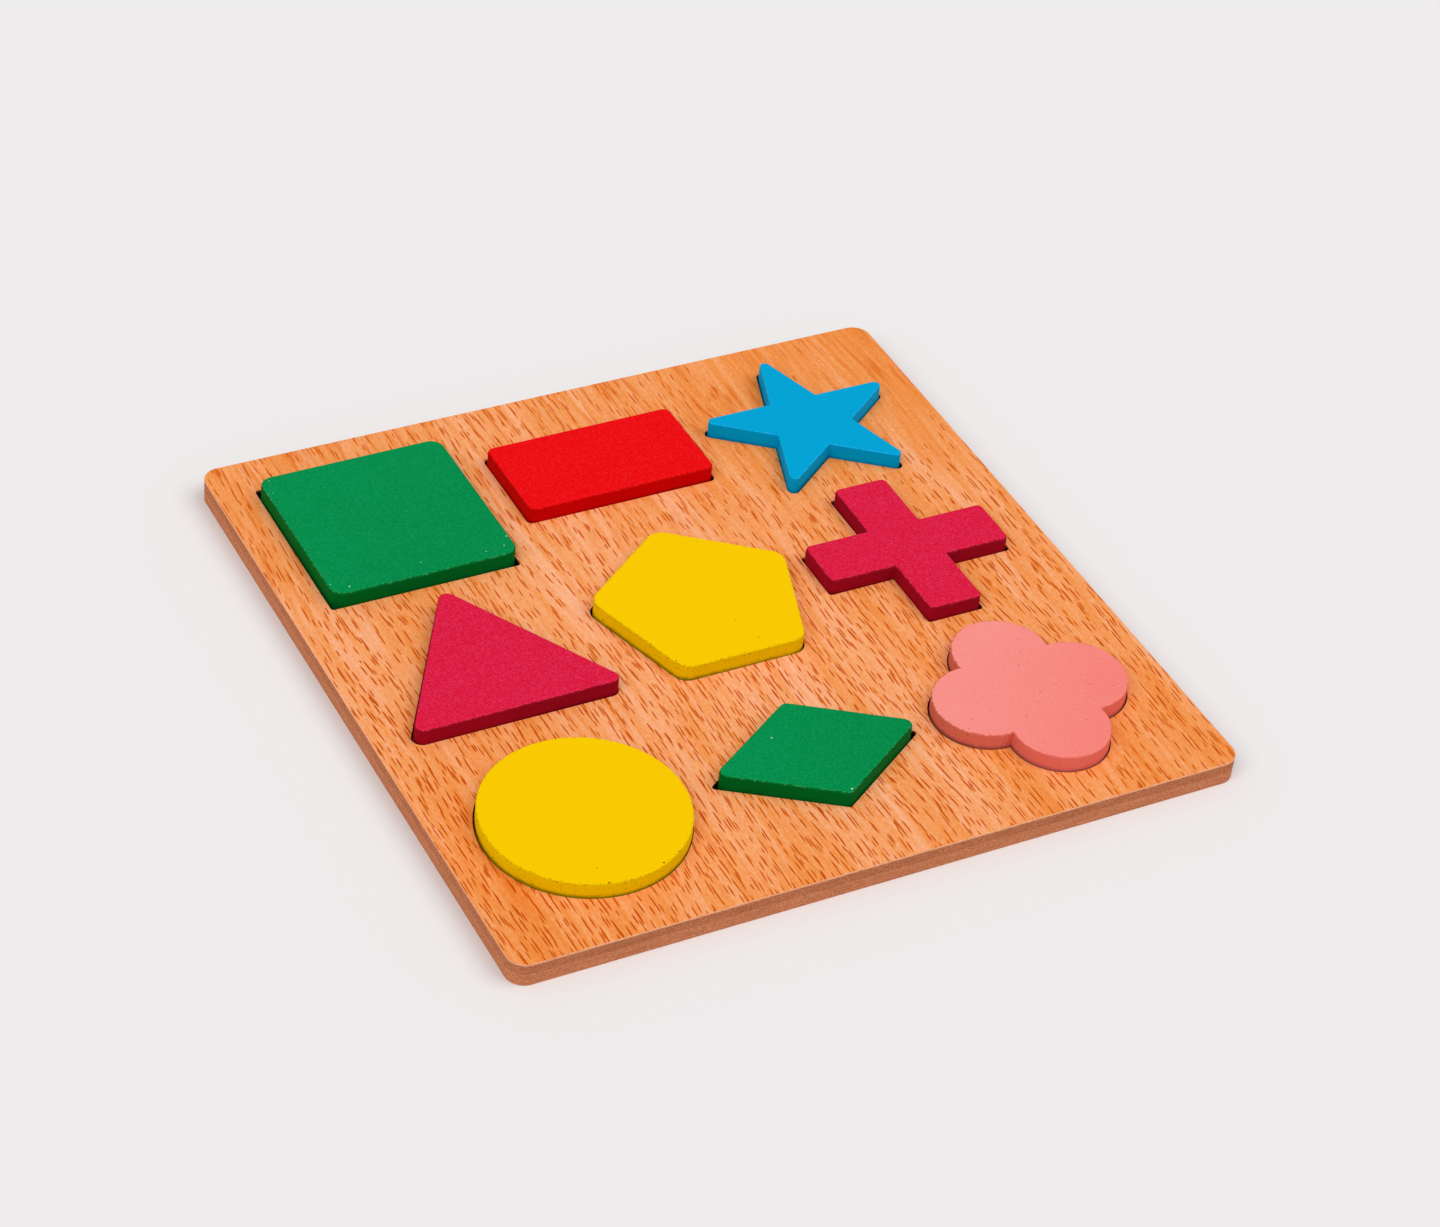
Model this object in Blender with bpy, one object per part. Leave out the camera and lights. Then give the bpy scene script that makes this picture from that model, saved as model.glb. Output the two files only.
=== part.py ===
"""Wooden shape puzzle: a veneered two-layer board with nine recesses, and the nine painted shapes that lie in them.

Lengths are metres and +Z is up. The origin is under the middle of the board, on the face that it rests on.
+X runs along the front edge to the right, and +Y runs from the front row to the back row.
"""

import math

import bpy
from mathutils import Vector

# Board, from the bottom up: a base, a frame with the nine cut-outs, and a face veneer with the same cut-outs
BOARD_WIDTH = 0.2250
BOARD_DEPTH = 0.2250
BOARD_CORNER_RADIUS = 0.0055
BASE_THICKNESS = 0.0040
FRAME_THICKNESS = 0.0029
VENEER_THICKNESS = 0.0006

# Shapes: all are cut from one board, with the arrises of both faces rounded
SHAPE_THICKNESS = 0.0084
SHAPE_EDGE_ROUND = 0.0005
SHAPE_NOTCH_RADIUS = 0.0004

# Room between a shape and the wall of its recess, all round
RECESS_GAP = 0.0004
RECESS_CORNER_RADIUS = 0.0009
RECTANGLE_RECESS_CORNER_RADIUS = 0.0018
STAR_RECESS_TIP_RADIUS = 0.0019
TRIANGLE_RECESS_CORNER_RADIUS = 0.0030
PENTAGON_RECESS_CORNER_RADIUS = 0.0046

# Outlines
SQUARE_SIDE = 0.0585
SQUARE_CORNER_RADIUS = 0.0043
RECTANGLE_WIDTH = 0.0614
RECTANGLE_DEPTH = 0.0324
RECTANGLE_CORNER_RADIUS = 0.0026
STAR_POINTS = 5
STAR_TIP_DISTANCE = 0.0350
STAR_NOTCH_DISTANCE = 0.0135
STAR_TIP_RADIUS = 0.0017
TRIANGLE_BASE = 0.0660
TRIANGLE_HEIGHT = 0.0555
TRIANGLE_CORNER_RADIUS = 0.0026
PENTAGON_SIDES = 5
PENTAGON_CORNER_DISTANCE = 0.0332
PENTAGON_CORNER_RADIUS = 0.0053
CROSS_SPAN = 0.0602
CROSS_ARM_WIDTH = 0.0176
CROSS_CORNER_RADIUS = 0.0020
DISC_DIAMETER = 0.0588
RHOMBUS_WIDTH = 0.0642
RHOMBUS_DEPTH = 0.0409
RHOMBUS_CORNER_RADIUS = 0.0025
FLOWER_SIDE_LOBE_RADIUS = 0.0150
FLOWER_SIDE_LOBE_DISTANCE = 0.0153
FLOWER_END_LOBE_RADIUS = 0.0146
FLOWER_END_LOBE_DISTANCE = 0.0165

# The recesses lie in three rows. Of the width that a row's recesses leave, or the depth that a column's leave,
# these shares go to the left or front margin and to the two spaces, and the rest goes to the other margin
FRONT_ROW_SHARES = (0.272, 0.228, 0.153)
MIDDLE_ROW_SHARES = (0.283, 0.171, 0.180)
BACK_ROW_SHARES = (0.284, 0.240, 0.168)
LEFT_COLUMN_SHARES = (0.277, 0.276, 0.171)
MIDDLE_COLUMN_SHARES = (0.255, 0.244, 0.236)
RIGHT_COLUMN_SHARES = (0.295, 0.224, 0.172)

# How each shape lies in its recess: its shift along X and Y, and the swing of its rim, as shares of the gap
SQUARE_REST_SHARES = (0.2, -0.1, 0.5)
RECTANGLE_REST_SHARES = (-0.3, -0.4, 0.4)
STAR_REST_SHARES = (-0.1, 0.0, -0.4)
TRIANGLE_REST_SHARES = (0.3, -0.3, 0.4)
PENTAGON_REST_SHARES = (0.0, -0.5, -0.3)
CROSS_REST_SHARES = (-0.5, -0.4, -0.2)
DISC_REST_SHARES = (0.3, -0.3, 0.0)
RHOMBUS_REST_SHARES = (-0.3, -0.3, -0.2)
FLOWER_REST_SHARES = (0.2, 0.2, 0.3)

# Facets of the round stretches
ARC_STEP = math.radians(13)
DISC_STEPS = 80
ROUNDING_SEGMENTS = 2

# Finishes: linear colour and roughness
BROWN_BOARD = ((0.42, 0.17, 0.075), 0.85)
BEECH = ((0.85, 0.36, 0.12), 0.50)
GREEN_PAINT = ((0.000, 0.28, 0.075), 0.50)
RED_PAINT = ((0.82, 0.004, 0.006), 0.50)
BLUE_PAINT = ((0.000, 0.36, 0.68), 0.50)
CRIMSON_PAINT = ((0.70, 0.010, 0.065), 0.50)
YELLOW_PAINT = ((0.95, 0.60, 0.000), 0.50)
PINK_PAINT = ((0.93, 0.27, 0.24), 0.55)

RECESS_FLOOR = BASE_THICKNESS
FRAME_TOP = BASE_THICKNESS + FRAME_THICKNESS
BOARD_TOP = FRAME_TOP + VENEER_THICKNESS


def points(*pairs):
    return [Vector(pair) for pair in pairs]


def around(count, *distances):
    """Corners of a figure with its first point towards +Y, at each distance from the middle in turn."""
    total = count * len(distances)
    found = []
    for i in range(total):
        angle = math.pi / 2 + math.tau * i / total
        found.append(distances[i % len(distances)] * Vector((math.cos(angle), math.sin(angle))))
    return found


def rectangle_corners(width, depth):
    x, y = width / 2, depth / 2
    return points((-x, -y), (x, -y), (x, y), (-x, y))


def rhombus_corners(width, depth):
    x, y = width / 2, depth / 2
    return points((0, -y), (x, 0), (0, y), (-x, 0))


def triangle_corners(base, height):
    """An isosceles triangle about its centroid, with its apex towards +Y."""
    return points((-base / 2, -height / 3), (base / 2, -height / 3), (0, height * 2 / 3))


def cross_corners(span, arm):
    end, side = span / 2, arm / 2
    quarter = points((end, -side), (end, side), (side, side))
    found = []
    for x_axis, y_axis in (((1, 0), (0, 1)), ((0, 1), (-1, 0)), ((-1, 0), (0, -1)), ((0, -1), (1, 0))):
        found += [Vector(x_axis) * corner.x + Vector(y_axis) * corner.y for corner in quarter]
    return found


def neighbours(corners):
    """Each corner with the one before it and the one after it."""
    return zip(corners[-1:] + corners[:-1], corners, corners[1:] + corners[:1])


def grown(corners, distance):
    """The figure's corners once every side has moved outward by this distance. They run anticlockwise."""
    found = []
    for before, here, after in neighbours(corners):
        into, out = (here - before).normalized(), (after - here).normalized()
        side_in, side_out = Vector((into.y, -into.x)), Vector((out.y, -out.x))
        mitre = (side_in + side_out).normalized()
        found.append(here + mitre * (distance / mitre.dot(side_in)))
    return found


def arc(centre, radius, start, turn):
    """Points along an arc, both ends included."""
    steps = max(2, math.ceil(abs(turn) / ARC_STEP))
    angles = [start + turn * i / steps for i in range(steps + 1)]
    return [centre + radius * Vector((math.cos(angle), math.sin(angle))) for angle in angles]


def rounded(corners, radius, notch_radius):
    """The figure with its outward corners rounded to one radius and its inward ones to the other."""
    found = []
    for before, here, after in neighbours(corners):
        back, ahead = (before - here).normalized(), (after - here).normalized()
        inward = back.cross(ahead) > 0
        corner_radius = notch_radius if inward else radius
        half = back.angle(ahead) / 2
        centre = here + (back + ahead).normalized() * (corner_radius / math.sin(half))
        first = here + back * (corner_radius / math.tan(half)) - centre
        swept = math.pi - 2 * half
        start = math.atan2(first.y, first.x)
        found += arc(centre, corner_radius, start, -swept if inward else swept)
    return found


def circle(radius):
    return [
        radius * Vector((math.cos(math.tau * i / DISC_STEPS), math.sin(math.tau * i / DISC_STEPS)))
        for i in range(DISC_STEPS)
    ]


def flower(growth):
    """Round lobes to the right, back, left and front that meet in sharp notches, all grown by this much."""
    side, end = FLOWER_SIDE_LOBE_DISTANCE, FLOWER_END_LOBE_DISTANCE
    side_radius, end_radius = FLOWER_SIDE_LOBE_RADIUS + growth, FLOWER_END_LOBE_RADIUS + growth
    between = math.hypot(side, end)
    along = (between**2 + side_radius**2 - end_radius**2) / (2 * between)
    out = math.sqrt(side_radius**2 - along**2)
    notch_x = side + (out * end - along * side) / between
    notch_y = (out * side + along * end) / between
    side_lobe = (side, side_radius, math.atan2(notch_y, notch_x - side))
    end_lobe = (end, end_radius, math.atan2(notch_x, notch_y - end))
    lobes = (side_lobe, end_lobe, side_lobe, end_lobe)
    found = []
    for i, (distance, radius, half_sweep) in enumerate(lobes):
        angle = math.tau * i / len(lobes)
        centre = distance * Vector((math.cos(angle), math.sin(angle)))
        found += arc(centre, radius, angle - half_sweep, 2 * half_sweep)[:-1]
    return found


def cornered(corners, radius, recess_radius):
    """A straight-sided shape's outline, and its recess's outline, which is wider by the gap."""
    shape = rounded(corners, radius, SHAPE_NOTCH_RADIUS)
    recess = rounded(grown(corners, RECESS_GAP), recess_radius, SHAPE_NOTCH_RADIUS)
    return shape, recess


def square():
    corners = rectangle_corners(SQUARE_SIDE, SQUARE_SIDE)
    return cornered(corners, SQUARE_CORNER_RADIUS, RECESS_CORNER_RADIUS)


def rectangle():
    corners = rectangle_corners(RECTANGLE_WIDTH, RECTANGLE_DEPTH)
    return cornered(corners, RECTANGLE_CORNER_RADIUS, RECTANGLE_RECESS_CORNER_RADIUS)


def star():
    corners = around(STAR_POINTS, STAR_TIP_DISTANCE, STAR_NOTCH_DISTANCE)
    return cornered(corners, STAR_TIP_RADIUS, STAR_RECESS_TIP_RADIUS)


def triangle():
    corners = triangle_corners(TRIANGLE_BASE, TRIANGLE_HEIGHT)
    return cornered(corners, TRIANGLE_CORNER_RADIUS, TRIANGLE_RECESS_CORNER_RADIUS)


def pentagon():
    corners = around(PENTAGON_SIDES, PENTAGON_CORNER_DISTANCE)
    return cornered(corners, PENTAGON_CORNER_RADIUS, PENTAGON_RECESS_CORNER_RADIUS)


def cross():
    corners = cross_corners(CROSS_SPAN, CROSS_ARM_WIDTH)
    return cornered(corners, CROSS_CORNER_RADIUS, RECESS_CORNER_RADIUS)


def disc():
    return circle(DISC_DIAMETER / 2), circle(DISC_DIAMETER / 2 + RECESS_GAP)


def rhombus():
    corners = rhombus_corners(RHOMBUS_WIDTH, RHOMBUS_DEPTH)
    return cornered(corners, RHOMBUS_CORNER_RADIUS, RECESS_CORNER_RADIUS)


def quatrefoil():
    return flower(0), flower(RECESS_GAP)


def material(name, finish):
    colour, roughness = finish
    made = bpy.data.materials.new(name)
    made.use_nodes = True
    surface = made.node_tree.nodes["Principled BSDF"]
    surface.inputs["Base Color"].default_value = (*colour, 1)
    surface.inputs["Roughness"].default_value = roughness
    surface.inputs["Metallic"].default_value = 0
    made.diffuse_color = (*colour, 1)
    return made


def sheet(name, outlines, thickness, edge_round, finish, collection):
    """A flat piece about its mid-plane, from an outer outline and those of its cut-outs, with both arrises rounded."""
    curve = bpy.data.curves.new(name, "CURVE")
    curve.dimensions = "2D"
    curve.fill_mode = "BOTH"
    curve.extrude = thickness / 2 - edge_round
    curve.bevel_depth = edge_round
    curve.offset = -edge_round
    curve.bevel_resolution = ROUNDING_SEGMENTS - 1
    for outline in outlines:
        spline = curve.splines.new("POLY")
        spline.points.add(len(outline) - 1)
        for point, place in zip(spline.points, outline):
            point.co = (place.x, place.y, 0, 1)
        spline.use_cyclic_u = True
    curve.materials.append(material(name, finish))
    made = bpy.data.objects.new(name, curve)
    collection.objects.link(made)
    return made


def board_outline():
    corners = rectangle_corners(BOARD_WIDTH, BOARD_DEPTH)
    return rounded(corners, BOARD_CORNER_RADIUS, BOARD_CORNER_RADIUS)


def spread(recesses, axis, whole, shares):
    """How far each of a line of recesses moves along an axis of the board, with the room they leave shared out."""
    spans = [(min(point[axis] for point in recess), max(point[axis] for point in recess)) for recess in recesses]
    room = whole - sum(high - low for low, high in spans)
    reached = -whole / 2
    shifts = []
    for (low, high), share in zip(spans, shares):
        reached += share * room
        shifts.append(reached - low)
        reached += high - low
    return shifts


def places(rows):
    """Where each recess's own middle goes on the board, row by row."""
    row_shares = (FRONT_ROW_SHARES, MIDDLE_ROW_SHARES, BACK_ROW_SHARES)
    column_shares = (LEFT_COLUMN_SHARES, MIDDLE_COLUMN_SHARES, RIGHT_COLUMN_SHARES)
    across = [spread(row, 0, BOARD_WIDTH, shares) for row, shares in zip(rows, row_shares)]
    along = [spread(column, 1, BOARD_DEPTH, shares) for column, shares in zip(zip(*rows), column_shares)]
    return [[Vector(place) for place in zip(xs, ys)] for xs, ys in zip(across, zip(*along))]


def lay_in_recess(piece, outline, place, rest_shares):
    """Stands a shape on the recess floor, as far off the recess's middle and as far turned as its shares of the gap say."""
    x_share, y_share, swing_share = rest_shares
    reach = max(point.length for point in outline)
    piece.location = (
        place.x + x_share * RECESS_GAP,
        place.y + y_share * RECESS_GAP,
        RECESS_FLOOR + SHAPE_THICKNESS / 2,
    )
    piece.rotation_euler.z = swing_share * RECESS_GAP / reach


def build():
    for old in list(bpy.data.objects):
        bpy.data.objects.remove(old)
    collection = bpy.data.collections.new("shape_puzzle")
    bpy.context.scene.collection.children.link(collection)

    # Name, outlines, rest and finish of each shape: rows from the front to the back, each from left to right
    rows = (
        (
            ("yellow_disc", disc(), DISC_REST_SHARES, YELLOW_PAINT),
            ("green_rhombus", rhombus(), RHOMBUS_REST_SHARES, GREEN_PAINT),
            ("pink_flower", quatrefoil(), FLOWER_REST_SHARES, PINK_PAINT),
        ),
        (
            ("crimson_triangle", triangle(), TRIANGLE_REST_SHARES, CRIMSON_PAINT),
            ("yellow_pentagon", pentagon(), PENTAGON_REST_SHARES, YELLOW_PAINT),
            ("crimson_cross", cross(), CROSS_REST_SHARES, CRIMSON_PAINT),
        ),
        (
            ("green_square", square(), SQUARE_REST_SHARES, GREEN_PAINT),
            ("red_rectangle", rectangle(), RECTANGLE_REST_SHARES, RED_PAINT),
            ("blue_star", star(), STAR_REST_SHARES, BLUE_PAINT),
        ),
    )
    recess_rows = [[outlines[1] for _, outlines, _, _ in row] for row in rows]
    place_rows = places(recess_rows)
    recesses = [
        [point + place for point in recess]
        for recess_row, place_row in zip(recess_rows, place_rows)
        for recess, place in zip(recess_row, place_row)
    ]

    board = bpy.data.objects.new("board", None)
    collection.objects.link(board)

    base = sheet("base_board", [board_outline()], BASE_THICKNESS, 0, BROWN_BOARD, collection)
    base.location.z = BASE_THICKNESS / 2
    base.parent = board

    frame = sheet("frame_board", [board_outline(), *recesses], FRAME_THICKNESS, 0, BROWN_BOARD, collection)
    frame.location.z = BASE_THICKNESS + FRAME_THICKNESS / 2
    frame.parent = board

    veneer = sheet("face_veneer", [board_outline(), *recesses], VENEER_THICKNESS, 0, BEECH, collection)
    veneer.location.z = FRAME_TOP + VENEER_THICKNESS / 2
    veneer.parent = board

    for row, place_row in zip(rows, place_rows):
        for (name, outlines, rest_shares, finish), place in zip(row, place_row):
            piece = sheet(name, [outlines[0]], SHAPE_THICKNESS, SHAPE_EDGE_ROUND, finish, collection)
            lay_in_recess(piece, outlines[0], place, rest_shares)
            piece.parent = board


build()
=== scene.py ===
"""Looks of the wooden shape puzzle: its layered board, its nine painted shapes, their finishes and the room.

Lengths are metres in the frame of the CAD model. Textures are laid out in millimetres of that frame, and
colours are written as screen values from 0 to 255.
"""

import math

import bmesh
import bpy
from mathutils import Matrix, Vector, noise


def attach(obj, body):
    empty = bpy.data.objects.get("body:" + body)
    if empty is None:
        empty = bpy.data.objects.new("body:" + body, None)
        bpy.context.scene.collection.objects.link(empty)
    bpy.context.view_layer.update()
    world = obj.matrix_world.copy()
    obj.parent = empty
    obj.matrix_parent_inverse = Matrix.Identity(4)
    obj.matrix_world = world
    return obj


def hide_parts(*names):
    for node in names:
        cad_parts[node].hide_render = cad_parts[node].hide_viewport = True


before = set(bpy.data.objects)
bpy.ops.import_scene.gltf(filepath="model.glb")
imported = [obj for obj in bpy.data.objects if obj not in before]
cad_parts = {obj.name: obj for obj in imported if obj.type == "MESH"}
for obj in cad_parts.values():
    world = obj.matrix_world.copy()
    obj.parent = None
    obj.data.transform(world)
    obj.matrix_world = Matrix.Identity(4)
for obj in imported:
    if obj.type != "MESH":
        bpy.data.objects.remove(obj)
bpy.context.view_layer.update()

# Board and shapes: the sizes of the CAD model
BOARD_WIDTH = 0.2250
BOARD_CORNER_RADIUS = 0.0055
BASE_THICKNESS = 0.0040
FRAME_THICKNESS = 0.0029
VENEER_THICKNESS = 0.0006
SHAPE_THICKNESS = 0.0084
SHAPE_NOTCH_RADIUS = 0.0004
RECESS_GAP = 0.0004
RECESS_CORNER_RADIUS = 0.0009
RECTANGLE_RECESS_CORNER_RADIUS = 0.0018
STAR_RECESS_TIP_RADIUS = 0.0019
TRIANGLE_RECESS_CORNER_RADIUS = 0.0030
PENTAGON_RECESS_CORNER_RADIUS = 0.0046
SQUARE_SIDE = 0.0585
SQUARE_CORNER_RADIUS = 0.0043
RECTANGLE_WIDTH = 0.0614
RECTANGLE_DEPTH = 0.0324
RECTANGLE_CORNER_RADIUS = 0.0026
STAR_POINTS = 5
STAR_TIP_DISTANCE = 0.0350
STAR_NOTCH_DISTANCE = 0.0135
STAR_TIP_RADIUS = 0.0017
TRIANGLE_BASE = 0.0660
TRIANGLE_HEIGHT = 0.0555
TRIANGLE_CORNER_RADIUS = 0.0026
PENTAGON_SIDES = 5
PENTAGON_CORNER_DISTANCE = 0.0332
PENTAGON_CORNER_RADIUS = 0.0053
CROSS_SPAN = 0.0602
CROSS_ARM_WIDTH = 0.0176
CROSS_CORNER_RADIUS = 0.0020
DISC_DIAMETER = 0.0588
RHOMBUS_WIDTH = 0.0642
RHOMBUS_DEPTH = 0.0409
RHOMBUS_CORNER_RADIUS = 0.0025
FLOWER_SIDE_LOBE_RADIUS = 0.0150
FLOWER_SIDE_LOBE_DISTANCE = 0.0153
FLOWER_END_LOBE_RADIUS = 0.0146
FLOWER_END_LOBE_DISTANCE = 0.0165
FRONT_ROW_SHARES = (0.272, 0.228, 0.153)
MIDDLE_ROW_SHARES = (0.283, 0.171, 0.180)
BACK_ROW_SHARES = (0.284, 0.240, 0.168)
LEFT_COLUMN_SHARES = (0.277, 0.276, 0.171)
MIDDLE_COLUMN_SHARES = (0.255, 0.244, 0.236)
RIGHT_COLUMN_SHARES = (0.295, 0.224, 0.172)

FRAME_TOP = BASE_THICKNESS + FRAME_THICKNESS
BOARD_TOP = FRAME_TOP + VENEER_THICKNESS
SHAPE_TOP = BASE_THICKNESS + SHAPE_THICKNESS

# Fineness of the meshes, and the tiny arrises of the board's layers
ARC_STEP = math.radians(4)
ARC_STEP_SLACK = 0.001
SIDE_STEP = 0.0006
DISC_STEPS = 300
ROUNDING_SEGMENTS = 6
SIDE_RINGS = 5
CAP_MARGIN = 0.0006
SHARP_ANGLE = math.radians(50)
LAYER_EDGE_ROUND = 0.00010
WELD_DISTANCE = 1e-7
TINY = 0.00005

# Unevenness of the shapes' rims: the stretches over which they waver, each with its share
WAVERS = ((0.0060, 0.7), (0.0016, 0.3))

# Reach and depth of the dent under a chip or a mark, as shares of its radius
DENT_REACH = 2.2
DENT_DEPTH = 0.35

# The second and third finish of a board layer, and how level a face may lie, by its normal, to get them
EDGE_FINISH = 1
EDGE_LEVELNESS = 0.95
WALL_FINISH = 2
WALL_LEVELNESS = 0.3

MILLIMETRES = 1000

# Screen values
WHITE = 255
DUST = 235
STUDIO_GREY = (238, 236, 236)
# Colours of the recess walls: char, and painted shade of the narrow gaps
DARK_CHAR_AND_SHADE = (16, 11, 8)
PALE_CHAR_AND_SHADE = (52, 34, 22)
BEECH_LINE = (222, 108, 26)
FLECK_HALO = (230, 112, 4)
FLECK_CORE = (188, 66, 0)

# Colours of the beech from its deepest to its palest, each at its tone from 0 to 1
BEECH_TONES = (
    (0.08, (232, 122, 42)),
    (0.32, (240, 143, 68)),
    (0.50, (245, 157, 92)),
    (0.66, (249, 170, 118)),
    (0.90, (253, 189, 152)),
)

# Layers of flecks, in millimetres: the size of a cell, the shortest and the longest fleck, their width, and
# the layer's shift
FLECK_LAYERS = (
    ((3.1, 9.7), 4.0, 8.8, 0.32, (0, 0, 0)),
    ((2.9, 7.3), 3.0, 6.6, 0.30, (31.7, 12.3, 0)),
    ((3.3, 5.1), 2.2, 4.6, 0.26, (87.1, 45.9, 0)),
)

# How many cells a column of flecks slides at most, the power that draws in their ends, and the stir of the
# draw that picks which of them are kept
FLECK_SLIDE = 9.0
FLECK_BLUNTNESS = 3.0
FLECK_STIR = 7.0

# How much deeper a paint's colour gets where it lies thick, as a power
THICK_PAINT = 1.35

# The room: the floor's side, how wide the lamps look, and the shares of a level surface's light that come
# from all around and from each lamp, with the lamp's direction
FLOOR_SIDE = 6
LAMP_ANGLE = math.radians(45)
SURROUNDING_SHARE = 0.45
LAMPS = (
    ("right_softbox", (0.55, -0.35, 1.0), 0.27),
    ("left_softbox", (-0.80, -0.38, 1.0), 0.28),
)

# The camera, at the photograph's viewing angle. Its sensor and lens are in millimetres
SENSOR_WIDTH = 36
FOCAL_LENGTH = 95.116
CAMERA_CLIP_START = 0.01
CAMERA_PLACE = (-0.43778, -0.73374, 0.69770)
CAMERA_TURN = (0.888085, -0.088424, -0.470777)


# Colours


def linear(colour):
    """Screen values as a colour in linear light."""
    found = []
    for value in colour:
        share = value / WHITE
        found.append(share / 12.92 if share <= 0.04045 else ((share + 0.055) / 1.055) ** 2.4)
    return (*found, 1)


def thick(colour):
    """Screen values of a paint where it lies thick."""
    return tuple(round(WHITE * (value / WHITE) ** THICK_PAINT) for value in colour)


def dusted(colour, share):
    """Screen values of a paint under this share of pale dust."""
    return tuple(round((1 - share) * value + share * DUST) for value in colour)


# Outlines


def around(count, *distances):
    """Corners around the origin, anticlockwise from the back, at each of the distances in turn."""
    total = count * len(distances)
    found = []
    for i in range(total):
        angle = math.pi / 2 + math.tau * i / total
        found.append(distances[i % len(distances)] * Vector((math.cos(angle), math.sin(angle))))
    return found


def rectangle_corners(width, depth):
    x, y = width / 2, depth / 2
    return [Vector(pair) for pair in ((-x, -y), (x, -y), (x, y), (-x, y))]


def rhombus_corners(width, depth):
    x, y = width / 2, depth / 2
    return [Vector(pair) for pair in ((0, -y), (x, 0), (0, y), (-x, 0))]


def triangle_corners(base, height):
    return [Vector(pair) for pair in ((-base / 2, -height / 3), (base / 2, -height / 3), (0, height * 2 / 3))]


def cross_corners(span, arm):
    end, side = span / 2, arm / 2
    quarter = [Vector(pair) for pair in ((end, -side), (end, side), (side, side))]
    found = []
    for x_axis, y_axis in (((1, 0), (0, 1)), ((0, 1), (-1, 0)), ((-1, 0), (0, -1)), ((0, -1), (1, 0))):
        found += [Vector(x_axis) * corner.x + Vector(y_axis) * corner.y for corner in quarter]
    return found


def neighbours(corners):
    """Each corner between the one before it and the one after it."""
    return zip(corners[-1:] + corners[:-1], corners, corners[1:] + corners[:1])


def grown(corners, distance):
    """The figure's corners once every side has moved outward by this distance. They run anticlockwise."""
    found = []
    for before, here, after in neighbours(corners):
        into, out = (here - before).normalized(), (after - here).normalized()
        side_in, side_out = Vector((into.y, -into.x)), Vector((out.y, -out.x))
        mitre = (side_in + side_out).normalized()
        found.append(here + mitre * (distance / mitre.dot(side_in)))
    return found


def arc(centre, radius, start, turn):
    """The points of an arc. The slack keeps a turn of whole steps from getting one step more."""
    steps = max(2, math.ceil(abs(turn) / ARC_STEP - ARC_STEP_SLACK))
    angles = [start + turn * i / steps for i in range(steps + 1)]
    return [centre + radius * Vector((math.cos(angle), math.sin(angle))) for angle in angles]


def rounded(corners, radius, notch_radius):
    """The figure with its outward corners rounded to one radius and its inward ones to the other."""
    found = []
    for before, here, after in neighbours(corners):
        back, ahead = (before - here).normalized(), (after - here).normalized()
        inward = back.cross(ahead) > 0
        corner_radius = notch_radius if inward else radius
        half = back.angle(ahead) / 2
        centre = here + (back + ahead).normalized() * (corner_radius / math.sin(half))
        first = here + back * (corner_radius / math.tan(half)) - centre
        swept = math.pi - 2 * half
        start = math.atan2(first.y, first.x)
        found += arc(centre, corner_radius, start, -swept if inward else swept)
    return found


def circle(radius):
    angles = [math.tau * i / DISC_STEPS for i in range(DISC_STEPS)]
    return [radius * Vector((math.cos(angle), math.sin(angle))) for angle in angles]


def flower(growth):
    """Round lobes to the right, back, left and front that meet in sharp notches, all grown by this much."""
    side, end = FLOWER_SIDE_LOBE_DISTANCE, FLOWER_END_LOBE_DISTANCE
    side_radius, end_radius = FLOWER_SIDE_LOBE_RADIUS + growth, FLOWER_END_LOBE_RADIUS + growth
    between = math.hypot(side, end)
    along = (between**2 + side_radius**2 - end_radius**2) / (2 * between)
    out = math.sqrt(side_radius**2 - along**2)
    notch_x = side + (out * end - along * side) / between
    notch_y = (out * side + along * end) / between
    side_lobe = (side, side_radius, math.atan2(notch_y, notch_x - side))
    end_lobe = (end, end_radius, math.atan2(notch_x, notch_y - end))
    lobes = (side_lobe, end_lobe, side_lobe, end_lobe)
    steps = DISC_STEPS // len(lobes)
    found = []
    for i, (distance, radius, half_sweep) in enumerate(lobes):
        middle = math.tau * i / len(lobes)
        centre = distance * Vector((math.cos(middle), math.sin(middle)))
        for j in range(steps):
            angle = middle + half_sweep * (2 * j / steps - 1)
            found.append(centre + radius * Vector((math.cos(angle), math.sin(angle))))
    return found


def cornered(corners, radius, recess_radius):
    """A straight-sided shape's outline as a function of how far in it lies, and its recess's outline."""

    def shape(inset):
        return rounded(grown(corners, -inset), max(radius - inset, TINY), SHAPE_NOTCH_RADIUS + inset)

    return shape, rounded(grown(corners, RECESS_GAP), recess_radius, SHAPE_NOTCH_RADIUS)


def square():
    corners = rectangle_corners(SQUARE_SIDE, SQUARE_SIDE)
    return cornered(corners, SQUARE_CORNER_RADIUS, RECESS_CORNER_RADIUS)


def rectangle():
    corners = rectangle_corners(RECTANGLE_WIDTH, RECTANGLE_DEPTH)
    return cornered(corners, RECTANGLE_CORNER_RADIUS, RECTANGLE_RECESS_CORNER_RADIUS)


def star():
    corners = around(STAR_POINTS, STAR_TIP_DISTANCE, STAR_NOTCH_DISTANCE)
    return cornered(corners, STAR_TIP_RADIUS, STAR_RECESS_TIP_RADIUS)


def triangle():
    corners = triangle_corners(TRIANGLE_BASE, TRIANGLE_HEIGHT)
    return cornered(corners, TRIANGLE_CORNER_RADIUS, TRIANGLE_RECESS_CORNER_RADIUS)


def pentagon():
    corners = around(PENTAGON_SIDES, PENTAGON_CORNER_DISTANCE)
    return cornered(corners, PENTAGON_CORNER_RADIUS, PENTAGON_RECESS_CORNER_RADIUS)


def cross():
    corners = cross_corners(CROSS_SPAN, CROSS_ARM_WIDTH)
    return cornered(corners, CROSS_CORNER_RADIUS, RECESS_CORNER_RADIUS)


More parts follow.
